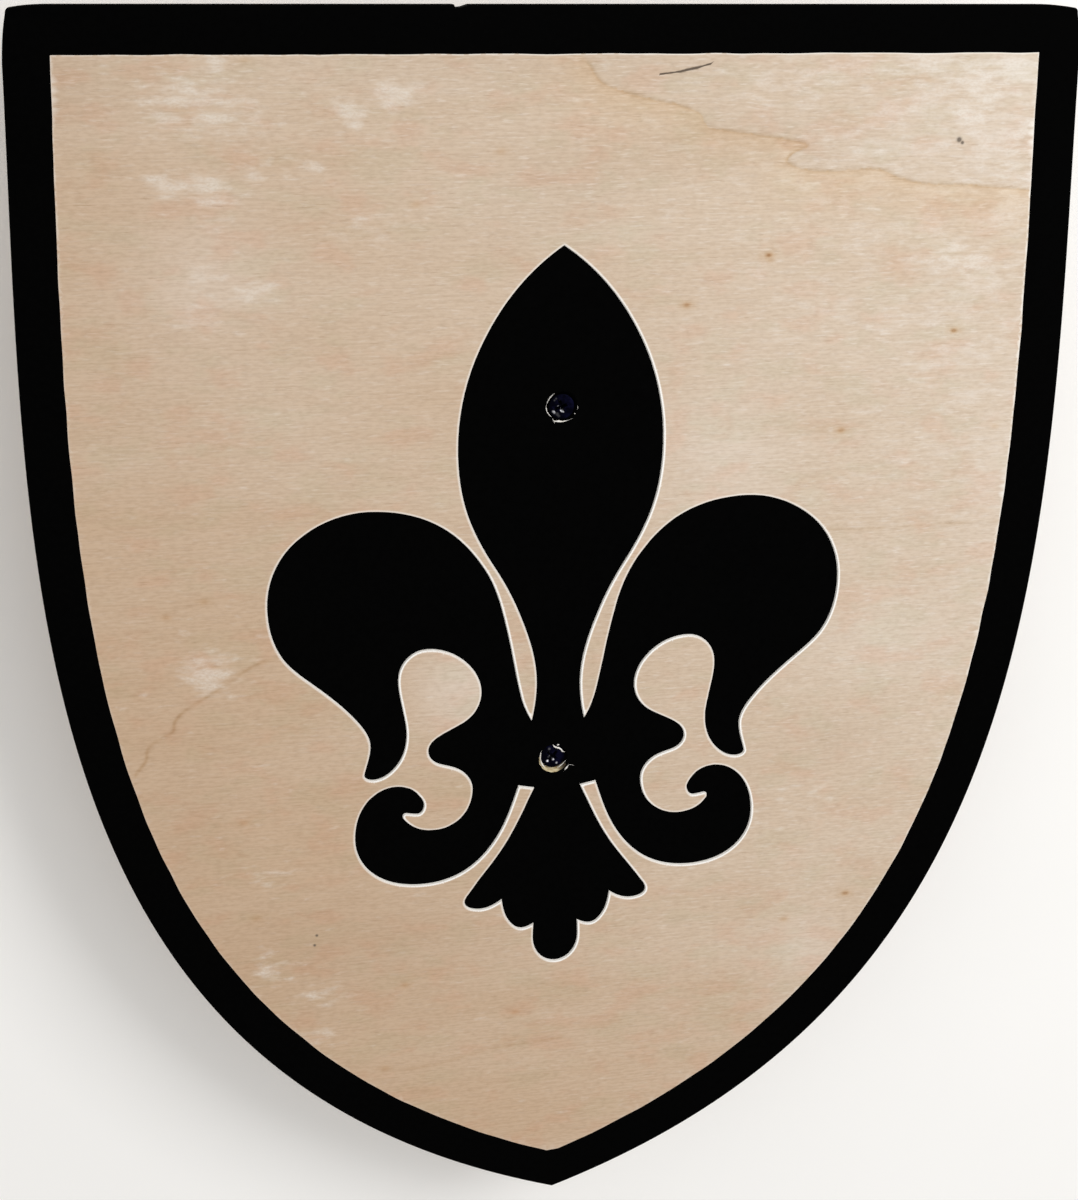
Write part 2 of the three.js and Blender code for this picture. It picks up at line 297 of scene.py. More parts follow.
TOP_HALF_WIDTH = 160
SIDE_CURVE = ((0, 398.2), (183.2, 337.4), (162.9, 150.3), (160.4, 16))    # (x, drop below TOP)
SIDE_LEAN = 0.5             # the right side bulges this much more, and the left this much less
CORNER_EASE = {"length": 14, "drop": 0.8, "inset": 1.3}
CORNER_RADIUS = 1.6
CHIP = ((-28.7, 0), (-31, 0.72), (-32.9, 0.9), (-33.3, 0))                # (x, drop)
ARRIS = 0.6
ARRIS_STEPS = 5
PLIES = 5
PLY_GROOVE = 0.07
GROOVE_HALF_WIDTH = 0.12

ENGRAVING_DEPTH = 0.8
ENGRAVING_FLOOR = FACE - ENGRAVING_DEPTH
CUT_FOOT = 0.05             # the cut's foot and top lie this far outside the lily's line
CUT_TOP = 0.28
CUT_RAGGED = 0.05
RIM_RINGS = (0.45, 0.65, 0.95)      # rows of points that hold the pale edge round the lily

# The lily's right half, from its foot up to its tip. Each anchor is (x, drop, heading), with
# the heading in degrees, 0 to the right and 90 up. A corner has two headings, in and out.
LILY_FLARE = [
    (0, 309.7, 0), (7.5, 301.3, 88), (7.3, 295.2, 94, -30),
    (11.5, 296.7, 0), (16, 293.3, 58), (18.2, 285.5, 82, -38),
    (25.5, 288.5, 0), (30.6, 285.3, 98), (28.6, 281.8, 124), (17.5, 266.3, 122),
]
LILY_SCROLL = [
    (7.5, 246.1, 115, 12), (12.9, 245, 12, -72),
    (18.5, 260, -63), (29, 272.9, -36), (45, 277.8, 0), (60, 273.3, 38),
    (66.4, 260.3, 90), (62.5, 247.5, 128), (53, 242.5, 180), (46, 245.6, 231),
    (44, 249.8, 275), (46.2, 252.5, 0), (49.6, 252, 10), (51, 253.1, 265), (49.6, 255.3, 228),
    (40.5, 258.7, 178), (31, 254.1, 130), (27.9, 245.1, 90), (31.5, 238.5, 38),
    (38.8, 235.5, 20), (42.3, 230.8, 92), (39.3, 226.3, 146), (31, 221.8, 150),
]
LILY_SIDE_PETAL = [
    (25, 211.8, 90), (30.5, 200.7, 42), (42.5, 196, 0), (51.9, 205.8, -89),
    (50.4, 216.8, -100), (49.4, 224.3, -90), (52.5, 234.8, -53), (60.5, 239.5, 2),
    (63, 237.6, 103), (60.9, 228.3, 92), (65, 219.1, 52), (80.2, 204.4, 40), (88, 196.3, 58),
    (92.2, 179.8, 90), (82.5, 158.4, 140), (60.4, 150.2, 180), (37.3, 156.5, 213),
    (24, 170.8, 238), (16.9, 191.3, 257), (12.2, 214.3, 256),
]
LILY_CENTRE_PETAL = [
    (8.6, 222.9, 240, 103), (7, 209.8, 90), (13.2, 184.8, 68), (20.8, 170.1, 58),
    (28.5, 155.1, 69), (32.4, 131.8, 90), (25.5, 100.3, 115), (12.8, 80.8, 132),
    (0, 69.7, 146),
]

SCREWS = {"screw_upper": (0, 79.8), "screw_lower": (-1.4, -36.6)}
HEAD_RADIUS = 4.0
SHANK_HOLE = 2.05
SEAT_DEPTH = 4.5            # from the face to the countersink's foot
BARE = {"screw_upper": (0, 0), "screw_lower": (180, 325)}    # the seat's unpainted arc, degrees

# The torn mouth of each hole: the least and the most it is wider than the head, the way to
# its widest place in degrees, and how ragged it is.
MOUTHS = {"screw_upper": (0.7, 1.3, 90, 0.2), "screw_lower": (0.08, 1.6, -80, 0.12)}

BORDER_WIDTH = {1: 13.4, -1: 13.0}                  # right and left side
BORDER_TOP = {1: 14.0, -1: 13.5}                    # drop of its inner top corners
BORDER_CURVE = ((0, 398.16), (182.05, 333.8), (163.25, 159.94), (160, 0))

# Slivers torn up round each screw: half width, and the way they lie as places from the screw.
SPLINTERS = {
    "screw_upper": [
        (0.17, [(-2.3, 4.4), (-3.6, 3.2), (-4.5, 1.8), (-4.9, 0.6), (-5, -0.2)]),
        (0.24, [(-5, 0.6), (-5, -0.2), (-4.7, -1.4), (-4, -2.4), (-3.2, -3.1)]),
        (0.34, [(-3, -3.6), (-2.4, -4.4), (-0.8, -4.6), (0.2, -4.7), (2, -4.35)]),
        (0.2, [(-2.7, -4.4), (-2.4, -4.8), (-2.25, -5.3)]),
        (0.1, [(1.8, -4.4), (2.6, -4.1), (3.4, -3.7)]),
        (0.16, [(4.9, 0.4), (5, -0.5), (4.8, -1.4)]),
        (0.26, [(3.9, -2.2), (4.3, -2.4)]),
    ],
    "screw_lower": [
        (0.24, [(-3.7, 2.4), (-4.1, 1.5), (-4.2, 0.3), (-4.1, -1), (-3.7, -1.9)]),
        (0.3, [(-4, -1.2), (-3.9, -1.9), (-3.4, -2.9), (-2.6, -3.9)]),
        (0.14, [(1.4, -4.1), (2.6, -3.4), (3.6, -2.5), (4.3, -1.6)]),
        (0.32, [(-0.1, 4.1), (0.5, 3.3), (1.2, 3), (2, 2.7), (2.7, 2.2), (3.1, 1.5), (4, 1.3)]),
        (0.45, [(1.1, 3.9), (1.6, 4), (2.1, 3.95)]),
        (0.42, [(3.8, -5.2), (4.6, -4.2), (5.4, -3.2)]),
        (0.12, [(5.1, -3.2), (6.2, -3.4), (7.2, -3.8)]),
    ],
}

# What has happened to the face veneer, all in (x, y) places on it.
GROWTH_LINES = [
    [(7, 182), (10.5, 177.5), (16, 175), (24, 172.7), (35, 170.3), (41, 168), (43, 164.4),
     (49, 163), (66, 160.6), (75, 158.4), (70.6, 156.2), (68.5, 153.8), (72, 151.8), (80, 150.4),
     (97, 150.9), (105, 148.1), (113, 146.2), (127, 145.6), (148, 143.8)],
    [(-89, 3.4), (-94, 2.2), (-99.5, -0.3), (-107, -5.5), (-113.5, -9.3), (-119, -12.7),
     (-122, -16), (-123, -19.4), (-130, -23.6), (-131.6, -28.6), (-135, -33)],
]
FAINT_LINES = [
    [(-55, -147.4), (-39, -145.9), (-29.5, -143.6), (-17, -141.8), (2, -140.3)],
    [(147, 36.5), (123, 36.3), (102, 36), (79, 36.4)],
]
BARK_STREAK = [(28, 179.4), (33, 180), (37.5, 180.8), (40.5, 181.5), (43.4, 182.3)]
PIN_KNOTS = [                                # (x, y, strength)
    (64, 125.2, 1), (64.6, 123.6, 0.6), (38.5, 110.5, 0.9), (126, 100, 1), (142.5, 68.5, 0.5),
    (90.5, 69, 0.8), (101.5, -94.5, 0.9), (80, -102.5, 0.6), (-45, 142.5, 0.5), (-19.5, 157.5, 0.5),
    (-93.5, 184, 0.4), (-123, 18.5, 0.6), (-111.5, 23, 0.5), (-102, -52, 0.5), (-51, -115, 0.6),
    (-13.5, -129, 0.6), (-58, -146, 0.5), (-99, -86, 0.5), (-113.5, 171, 0.35),
]
PIN_HOLES = [(123.2, 159.3, 0.9), (124.3, 158.4, 0.6), (-79.7, -94, 0.5), (-80.5, -97.5, 0.5)]
SCUFFS = [                                   # (x, y, half width, half height, strength)
    (128, 174, 9, 8, 1), (143, 153, 6, 12, 0.7), (126, 123, 9, 4, 0.6), (112, 181, 10, 5, 0.6),
    (140, 181, 9, 6, 0.6), (-103, 177, 5, 5, 0.7), (-101, 182, 3, 3, 0.8), (-112, 172, 9, 7, 0.8),
    (-101, 168, 12, 6, 0.8), (-120, 173, 5, 3, 0.6), (-64, 169.5, 4.5, 3.5, 0.9),
    (-50, 173, 6, 4, 1), (-44, 176, 7, 2, 0.6), (-120, 150.7, 4, 2, 0.8),
    (-108, 148, 10, 3.5, 0.9), (-106, 142, 7, 7, 0.5), (-91.5, 152, 2.5, 2, 0.9),
    (-89, 155, 2, 2, 0.9), (-76, 153.5, 4.5, 3, 0.7), (-93, 117.5, 6, 3, 0.9),
    (-107, 123, 5, 4, 0.6), (-110, 111, 8, 4, 0.6), (-60, 135, 9, 4, 0.5), (-111, 0, 7, 7, 0.9),
    (-94, -72, 7, 5, 0.4), (-97, -104, 5, 4, 0.6), (-93, -106, 6, 4, 0.6), (-76, -116, 8, 4, 0.6),
    (-79, -130, 6, 4, 0.5), (60, -70, 14, 9, 0.4), (85, -60, 12, 10, 0.4), (88, -90, 10, 6, 0.3),
]
BROAD_TONES = [                              # (x, y, half width, half height), and how pale
    (-10, 190, 75, 16, -0.9), (55, 158, 40, 10, -0.7), (-145, 178, 20, 14, -0.6),
    (-108, 122, 22, 22, 0.6), (50, 62, 22, 24, 0.6), (108, 0, 28, 16, 0.4),
    (-32, -12, 16, 14, 0.9), (96, -36, 24, 9, -0.4), (146, 180, 14, 14, 0.5),
    (148, 45, 14, 35, 0.4), (5, 150, 25, 12, -0.3), (-70, -98, 60, 18, -0.45),
    (88, -112, 16, 20, 0.5), (-120, -50, 14, 20, -0.25), (-10, 140, 30, 20, -0.3),
]
LINE_HALF_WIDTH = 0.6
WARMTH_REACH = 9            # how far the wood is warmer below the first growth line
KNOT_SIZE = (1.9, 1.1)
SCUFF_SPREAD = 1.3
TAPE_LINE = 0.3
VENEER_GRID = 2.5


def below(points):
    """(x, drop) pairs as places in the shield's frame."""
    return np.array([(x, TOP - drop) for x, drop in points], float)


def bezier(controls, steps):
    """Points along a Bezier curve, without its last, which is the next curve's first."""
    along = np.linspace(0, 1, steps, endpoint=False)[:, None]
    degree = len(controls) - 1
    return sum(
        math.comb(degree, power) * (1 - along) ** (degree - power) * along ** power * control
        for power, control in enumerate(controls)
    )


def evenly(path, spacing):
    """A path walked in even steps."""
    reached = np.append(0, np.cumsum(np.hypot(*np.diff(path, axis=0).T)))
    steps = np.linspace(0, reached[-1], max(3, round(reached[-1] / spacing)))
    return np.column_stack([np.interp(steps, reached, path[:, axis]) for axis in (0, 1)])


def mirrored(points):
    """The other half of a symmetric outline, walked the other way."""
    return (points * (-1, 1))[::-1]


def half_outline(lean):
    """The right half of the outline, from the point up to where the top edge runs straight."""
    corner_x = TOP_HALF_WIDTH - CORNER_EASE["inset"]
    drop = CORNER_EASE["drop"]
    side_top = SIDE_CURVE[-1]
    turn = below([
        (corner_x, drop + CORNER_RADIUS), (corner_x, drop), (corner_x - CORNER_RADIUS, drop),
    ])
    side_ease = below([side_top, (TOP_HALF_WIDTH, side_top[1] / 2)])
    top_ease = below([(TOP_HALF_WIDTH - CORNER_EASE["length"] * part, 0) for part in (0.5, 1)])
    side = below(SIDE_CURVE)
    side[1:3, 0] += lean
    return np.vstack([
        bezier(side, 110),
        bezier([*side_ease, turn[0]], 5),
        bezier(turn, 6),
        bezier([turn[2], *top_ease], 5),
        top_ease[1:],
    ])


def board_outline():
    """The whole outline, counter-clockwise from the point, with the chip in its top edge."""
    right, left = half_outline(SIDE_LEAN), mirrored(half_outline(-SIDE_LEAN)[1:])
    chip = below(CHIP)
    to_chip = evenly(np.array([right[-1], chip[0]]), 4)[1:-1]
    from_chip = evenly(np.array([chip[-1], left[0]]), 4)[1:-1]
    return np.vstack([right, to_chip, chip, from_chip, left])


def sweep(start, end, steps):
    """The smooth curve from one anchor to the next, with Hobby's handle lengths."""
    first, last = below([start[:2], end[:2]])
    leave, reach = math.radians(start[-1]), math.radians(end[2])
    chord = last - first
    slope = math.atan2(chord[1], chord[0])
    out = math.remainder(leave - slope, math.tau)
    back = math.remainder(slope - reach, math.tau)
    share = (3 - math.sqrt(5)) / 2
    lean = math.sqrt(2) * (math.sin(out) - math.sin(back) / 16)
    lean *= (math.sin(back) - math.sin(out) / 16) * (math.cos(out) - math.cos(back))

    def pull(near, far, side):
        spread = 3 * (1 + (1 - share) * math.cos(near) + share * math.cos(far))
        return np.hypot(*chord) * (2 + side * lean) / spread

    start_pull = pull(out, back, 1) * np.array([math.cos(leave), math.sin(leave)])
    end_pull = pull(back, out, -1) * np.array([math.cos(reach), math.sin(reach)])
    return bezier([first, first + start_pull, last - end_pull, last], steps)


def lily_outline():
    """The whole lily, counter-clockwise from its foot."""
    anchors = LILY_FLARE + LILY_SCROLL + LILY_SIDE_PETAL + LILY_CENTRE_PETAL
    right = np.vstack([sweep(start, end, 9) for start, end in zip(anchors, anchors[1:])])
    return np.vstack([right, below([anchors[-1][:2]]), mirrored(right[1:])])


def from_path(points, path, closed=False):
    """How far each point is from a path, on which side of its way (left is 1, right is -1),
    and the place on the path that is nearest to it."""
    ends = np.roll(path, -1, axis=0) if closed else path[1:]
    nearest = np.full(len(points), np.inf)
    sides = np.ones(len(points))
    feet = np.array(points, float)
    for start, end in zip(path, ends):
        step = end - start
        offset = points - start
        share = np.clip(offset @ step / max(step @ step, 1e-9), 0, 1)
        foot = start + share[:, None] * step
        distance = np.hypot(*(points - foot).T)
        side = np.where(step[0] * offset[:, 1] - step[1] * offset[:, 0] >= 0, 1.0, -1.0)
        closer = distance < nearest
        nearest = np.where(closer, distance, nearest)
        sides = np.where(closer, side, sides)
        feet = np.where(closer[:, None], foot, feet)
    return nearest, sides, feet


def grown(loop, distance):
    """A loop moved outwards, square to its sides, by one distance or by one for each point."""
    before = loop - np.roll(loop, 1, axis=0)
    after = np.roll(loop, -1, axis=0) - loop
    normals = [np.column_stack([way[:, 1], -way[:, 0]]) for way in (before, after)]
    first, second = [normal / np.hypot(*normal.T)[:, None] for normal in normals]
    mitre = 1 + np.sum(first * second, axis=1)
    out = (first + second) / np.maximum(mitre, 0.25)[:, None]
    return loop + out * np.reshape(distance, (-1, 1))


def untangled(moved, loop, distance):
    """Draws the points of a moved loop that have crossed over a corner back to that corner."""
    clear = from_path(moved, loop, closed=True)[0] > 0.97 * abs(distance)
    good = np.flatnonzero(clear)
    count = len(loop)
    gaps = np.abs(np.arange(count)[:, None] - good)
    return moved[good[np.argmin(np.minimum(gaps, count - gaps), axis=1)]]


def ragged(loop, size, spacing, seed=0):
    """Noise from -size to size along a loop, one wave to about every two spacings."""
    return np.array([size * 2 * noise.noise((x / spacing, y / spacing, seed)) for x, y in loop])


def ring(centre, radius, steps=72):
    """A circle, or a wavy one where each of its points has a radius of its own."""
    turns = np.arange(steps) * math.tau / steps
    ways = np.column_stack([np.cos(turns), np.sin(turns)])
    return np.asarray(centre) + ways * np.reshape(radius, (-1, 1))


def mouth(name):
    """The ragged mouth of a screw hole, never smaller than the head in it."""
    least, most, way, roughness = MOUTHS[name]
    middle = ring(SCREWS[name], HEAD_RADIUS)
    turns = np.arange(len(middle)) * math.tau / len(middle)
    opening = (0.5 + 0.5 * np.cos(turns - math.radians(way))) ** 1.3
    gap = least + (most - least) * opening + ragged(middle, roughness, 0.9)
    return ring(SCREWS[name], HEAD_RADIUS + np.maximum(gap, 0.06))


def edge_layers(outline, thickness=0.0):
    """The board's edge as (loop, height) layers from the back up to the face."""
    layers = []
    for step in range(ARRIS_STEPS + 1):
        angle = math.pi / 2 * step / ARRIS_STEPS
        layers.append((ARRIS * (1 - math.sin(angle)), ARRIS * (1 - math.cos(angle)) - thickness))
    ply = (FACE - BACK) / PLIES
    for joint in range(1, PLIES):
        for inset, offset in ((0, -GROOVE_HALF_WIDTH), (PLY_GROOVE, 0), (0, GROOVE_HALF_WIDTH)):
            layers.append((inset, ply * joint + offset))
    heights = [(inset, BACK + rise) for inset, rise in layers]
    heights += [(inset, FACE - rise) for inset, rise in layers[ARRIS_STEPS::-1]]
    return [(grown(outline, thickness - inset), height) for inset, height in heights]


def border_line():
    """The border's inner edge, drawn by hand with a brush along a tape."""
    halves = []
    for side in (1, -1):
        curve = bezier(below(BORDER_CURVE), 160)
        way = np.gradient(curve, axis=0)
        inward = np.column_stack([-way[:, 1], way[:, 0]]) / np.hypot(*way.T)[:, None]
        inner = curve + inward * BORDER_WIDTH[side]
        top = TOP - BORDER_TOP[side]
        inner = inner[(inner[:, 0] > 0) & (inner[:, 1] < top)]
        last_step = inner[-1] - inner[-2]
        corner = inner[-1] + last_step * (top - inner[-1][1]) / last_step[1]
        halves.append(np.vstack([inner, corner]) * (side, 1))
    right, left = halves
    top_edge = np.linspace(right[-1], left[-1], 180)[1:-1]
    return np.vstack([right, top_edge, left[::-1]])


def smoothed(path, spacing=0.7):
    """A given path with its corners rounded, as a Catmull-Rom curve of even steps."""
    path = np.array(path, float)
    padded = np.vstack([2 * path[0] - path[1], path, 2 * path[-1] - path[-2]])
    curve = []
    for before, start, end, after in zip(padded, padded[1:], padded[2:], padded[3:]):
        controls = [start, start + (end - before) / 6, end - (after - start) / 6, end]
        curve.append(bezier(controls, 12))
    return evenly(np.vstack([*curve, path[-1:]]), spacing)


def beside(path, offsets):
    """Rows of points that follow a path at these distances from it."""
    way = np.gradient(path, axis=0)
    across = np.column_stack([-way[:, 1], way[:, 0]]) / np.hypot(*way.T)[:, None]
    return np.vstack([path + across * offset for offset in offsets])


def spot(points, place, half_width, half_height):
    """1 at a place, fading to nothing past its half width and half height."""
    offset = (points - place) / (half_width, half_height)
    return np.exp(-np.sum(offset ** 2, axis=1))


def veneer_points():
    """Where the face needs points of its own to hold its marks."""
    across = np.arange(-TOP_HALF_WIDTH, TOP_HALF_WIDTH + 1, VENEER_GRID)
    along = np.arange(-TOP, TOP, VENEER_GRID)
    rows = [np.array(np.meshgrid(across, along)).reshape(2, -1).T]
    for path in [*GROWTH_LINES, *FAINT_LINES, BARK_STREAK]:
        rows.append(beside(smoothed(path), (-2, -1.3, -0.8, -0.4, 0, 0.4, 0.8, 1.3, 2)))
    for knot in PIN_KNOTS:
        rows += [ring(knot[:2], radius, 10) for radius in (0.4, 1, 1.8)]
    for x, y, radius in PIN_HOLES:
        rows += [ring((x, y), radius * share, 10) for share in (0.3, 1, 2)]
    rows += [grown(border, -inset) for inset in (0.15, 0.35, 0.6, 1)]
    for out in RIM_RINGS:
        loop = untangled(grown(lily, out), lily, out)
        rows.append(evenly(np.vstack([loop, loop[:1]]), 0.8))
    return rows


def mark_veneer(mesh):
    """Writes the face's marks onto the points of the board's mesh."""
    points = np.array([vertex.co for vertex in mesh.vertices]) / MM
    face = np.abs(points[:, 2] - FACE) < 0.01
    points = points[:, :2]
    patchy = np.clip(0.8 + ragged(points, 0.5, 9, 3), 0.35, 1)
    marks = {}
    growth = np.zeros(len(points))
    for strength, paths in ((1, GROWTH_LINES), (0.5, FAINT_LINES)):
        for path in paths:
            away = from_path(points, smoothed(path))[0]
            growth = np.maximum(growth, strength * np.exp(-(away / LINE_HALF_WIDTH) ** 2))
    marks["growth"] = growth * patchy
    away, sides = from_path(points, smoothed(GROWTH_LINES[0]))[:2]
    marks["warmth"] = np.where(sides < 0, np.exp(-away / WARMTH_REACH), 0)
    away, sides, feet = from_path(points, smoothed(BARK_STREAK))
    streak_start, streak_end = BARK_STREAK[0][0], BARK_STREAK[-1][0]
    share = np.clip((feet[:, 0] - streak_start) / (streak_end - streak_start), 0, 1)
    thickness = 0.1 + 0.3 * np.sin(math.pi * share ** 1.4).clip(0)
    marks["streak"] = np.exp(-(away / thickness) ** 2)
    broad = [pale * spot(points, (x, y), *size) for x, y, *size, pale in BROAD_TONES]
    marks["broad"] = np.sum(broad, axis=0)
    knots = [strength * spot(points, (x, y), *KNOT_SIZE) for x, y, strength in PIN_KNOTS]
    marks["knot"] = np.max(knots, axis=0)
    holes = [spot(points, (x, y), radius, radius) for x, y, radius in PIN_HOLES]
    marks["hole"] = np.max(holes, axis=0)
    scuffs = [
        strength * spot(points, (x, y), SCUFF_SPREAD * across, SCUFF_SPREAD * along)
        for x, y, across, along, strength in SCUFFS
    ]
    marks["scuff"] = np.max(scuffs, axis=0)
    taped = np.exp(-(from_path(points, border, closed=True)[0] / TAPE_LINE) ** 2)
    marks["taped"] = taped * np.clip(0.45 + points.sum(axis=1) / 350, 0.2, 1)
    # The pale rim round the lily: partly the raw pale edge of the cut, partly a painted highlight
    # of the cut's lit wall, painted stronger on the lower-right sides.
    away, sides, feet = from_path(points, lily_foot, closed=True)
    lower_right = (points - feet) @ (0.8, -0.6) / np.maximum(away, 0.05)
    marks["rim"] = np.clip((0.85 - away) / 0.25, 0, 1) * np.clip(0.55 + 0.6 * lower_right, 0.45, 1)
    for name, values in marks.items():
        attribute = mesh.attributes.new(name, "FLOAT", "POINT")
        attribute.data.foreach_set("value", np.where(face, values, 0).astype(np.float32))


def splinter(skin, centre, half_width, path, finish):
    """A torn-up sliver of wood along a path round a hole, fattest a third of the way."""
    spine = np.add(centre, smoothed(path, 0.3))
    share = np.linspace(0, 1, len(spine))
    swell = np.minimum(share / 0.35, (1 - share) / 0.65) ** 0.6
    way = np.gradient(spine, axis=0)
    across = np.column_stack([-way[:, 1], way[:, 0]]) / np.hypot(*way.T)[:, None]
    wander = 1 + ragged(spine, 0.3, 0.5)
    reach = across * (half_width * swell * wander)[:, None]
    foot = np.full(len(spine), ENGRAVING_FLOOR - 0.1)
    ridge = ENGRAVING_FLOOR + 0.1 + 0.6 * half_width * swell
    rows = np.stack([
        np.column_stack([spine - reach, foot]),
        np.column_stack([spine, ridge]),
        np.column_stack([spine + reach, foot]),
    ], axis=1)
    sides = [[side + 3, (side + 1) % 3 + 3, (side + 1) % 3, side] for side in range(3)]
    for row, next_row in zip(rows, rows[1:]):
        skin.add([*row, *next_row], sides, finish)
    skin.add(rows[0], [[0, 1, 2]], finish)
    skin.add(rows[-1], [[2, 1, 0]], finish)


outline = board_outline()
lily = lily_outline()
lily_foot = untangled(grown(lily, CUT_FOOT), lily, CUT_FOOT)
lily_top = untangled(grown(lily, CUT_TOP), lily, CUT_TOP)
lily_top = lily_top + (lily_top - lily_foot) * ragged(lily_top, CUT_RAGGED / CUT_TOP, 1.5)[:, None]
border = border_line()
border = grown(border, ragged(border, 0.12, 9))
hole_mouths = {name: mouth(name) for name in SCREWS}
edge = edge_layers(outline)

skin = Skin()
skin.fill([edge[-1][0], lily_top], FACE, inside=veneer_points())
skin.strip(lily_top, FACE, lily_foot, ENGRAVING_FLOOR, 1)
skin.fill([lily_foot, *hole_mouths.values()], ENGRAVING_FLOOR, finish=1)
for name, centre in SCREWS.items():
    shank = ring(centre, SHANK_HOLE)
    around = np.arange(len(shank)) * 360 / len(shank)
    painted = (around < BARE[name][0]) | (around >= BARE[name][1])
    skin.strip(hole_mouths[name], ENGRAVING_FLOOR, shank, FACE - SEAT_DEPTH, 3 - painted)
    skin.strip(shank, FACE - SEAT_DEPTH, shank, BACK, 3)
    for half_width, path in SPLINTERS[name]:
        splinter(skin, centre, half_width, path, 1)
shanks = [ring(centre, SHANK_HOLE) for centre in SCREWS.values()]
skin.fill([edge[0][0], *shanks], BACK, facing_up=False)
skin.stack(edge)


def plywood():
    finish = Finish("plywood")
    # Painted light and sheen: the wood is paler and greyer towards the upper-right corner, where
    # the key lamp stands, and the cloudy noise adds random tone to it.
    towards_lamp_corner = {0: finish.place(), 1: (0.0030, 0.0019, 0)}
    slope = finish.node("VectorMath", {"operation": "DOT_PRODUCT"}, towards_lamp_corner, "Value")
    clouds = finish.noise((0.010, 0.035, 0.01), 3)
    lamp_light_and_tone = finish.rise(slope + (clouds - 0.5) * 0.9, -0.75, 0.75)
    colour = finish.mix(lamp_light_and_tone, (0.555, 0.397, 0.268), (0.654, 0.543, 0.432))

    broad = finish.mark("broad")
    colour = finish.mix(broad * 0.26, colour, (1, 1, 0.98))
    colour = finish.tint(broad * -1, colour, (0.89, 0.855, 0.82))

    pink = finish.rise(finish.noise((0.07, 0.13, 0.05), 3, (40, 0, 0)), 0.5, 0.68)
    green = finish.rise(finish.noise((0.06, 0.12, 0.05), 3, (0, 90, 0)), 0.5, 0.68)
    colour = finish.tint(pink * 0.7, colour, (1.0, 0.91, 0.88))
    colour = finish.tint(green * 0.6, colour, (0.94, 0.98, 0.95))
    bands = finish.noise((0.006, 0.09, 0.05), 3, (7, 3, 0))
    colour = finish.tint(finish.rise(bands, 0.4, 0.7) * 0.5, colour, (0.95, 0.92, 0.88))

    fibre = finish.noise((0.42, 1.15, 1), 3)
    hairs = finish.noise((0.08, 1.7, 1), 2, (11, 5, 0))
    grain = fibre * 0.55 + hairs * 0.45
    colour = finish.tint(finish.rise(grain, 0.40, 0.62), colour, (0.90, 0.88, 0.86))
    pores = finish.rise(finish.noise((0.16, 2.4, 1), 1, (3, 70, 0)), 0.64, 0.76)
    colour = finish.tint(pores * 0.8, colour, (0.86, 0.81, 0.76))
    flecks = finish.rise(finish.noise((0.20, 1.5, 1), 2, (60, 9, 0)), 0.55, 0.72)
    # The pale flecks are painted stronger on the lamp's side, as part of the painted sheen.
    colour = finish.mix(flecks * (lamp_light_and_tone * 0.32 + 0.03), colour, (0.80, 0.74, 0.68))

    speck = finish.noise((0.14, 0.42, 1), 6, (20, 20, 0)) - 0.5
    fine = finish.rise(finish.noise((0.9, 1.8, 1), 3, (7, 7, 0)), 0.3, 0.65) * 0.5 + 0.5
    patches = finish.rise(finish.noise((0.06, 0.11, 0.05), 4, (33, 8, 0)), 0.40, 0.66)
    # Painted sheen: pale speckles mixed into the wood, growing towards the upper-right corner where
    # the lamp is.
    speckled_sheen = finish.rise(finish.rise(slope, 0.1, 0.9) * (patches * 0.3 + 0.2) + speck, 0.08, 0.5)
    colour = finish.mix(speckled_sheen * fine * 0.4, colour, (0.80, 0.75, 0.70))
    scuff = finish.rise(finish.mark("scuff") * (patches * 0.15 + 0.4) + speck, 0.1, 0.5) * fine
    colour = finish.mix(scuff * 0.5, colour, (0.80, 0.76, 0.70))

    colour = finish.tint(finish.mark("warmth"), colour, (1.0, 0.925, 0.82))
    growth = finish.mark("growth") * (fibre * 0.8 + 0.35)
    colour = finish.tint(growth, colour, (0.76, 0.66, 0.52))
    knot = finish.mark("knot")
    colour = finish.tint(knot * 0.8, colour, (0.85, 0.66, 0.43))
    colour = finish.tint(knot ** 4, colour, (0.60, 0.44, 0.30))
    streak = finish.rise(finish.mark("streak") + (fibre - 0.5) * 0.8, 0.1, 0.7)
    colour = finish.mix(streak * 0.9, colour, (0.055, 0.035, 0.02))
    hole = finish.rise(finish.mark("hole"), 0.1, 0.8)
    colour = finish.mix(hole * 0.9, colour, (0.12, 0.095, 0.07))
    colour = finish.mix(finish.mark("taped"), colour, (0.92, 0.89, 0.84))
    # Pale rim round the lily: the raw edge of the cut, with a painted highlight of its lit wall.
    colour = finish.mix(finish.mark("rim"), colour, (0.97, 0.96, 0.94))

    relief = grain - pores * 0.4 + scuff * 0.3
    return finish.surface(
        colour, scuff * 0.15 + 0.62, Specular_IOR_Level=0.35, Normal=finish.bump(relief, 0.05),
    )


def torn_wood():
    finish = Finish("torn_wood")
    fibre = finish.noise((0.6, 3.0, 3.0), 3)
    colour = finish.mix(finish.rise(fibre, 0.35, 0.7), (0.97, 0.96, 0.93), (0.84, 0.80, 0.73))
    return finish.surface(colour, 0.8, Specular_IOR_Level=0.2, Normal=finish.bump(fibre, 0.08))


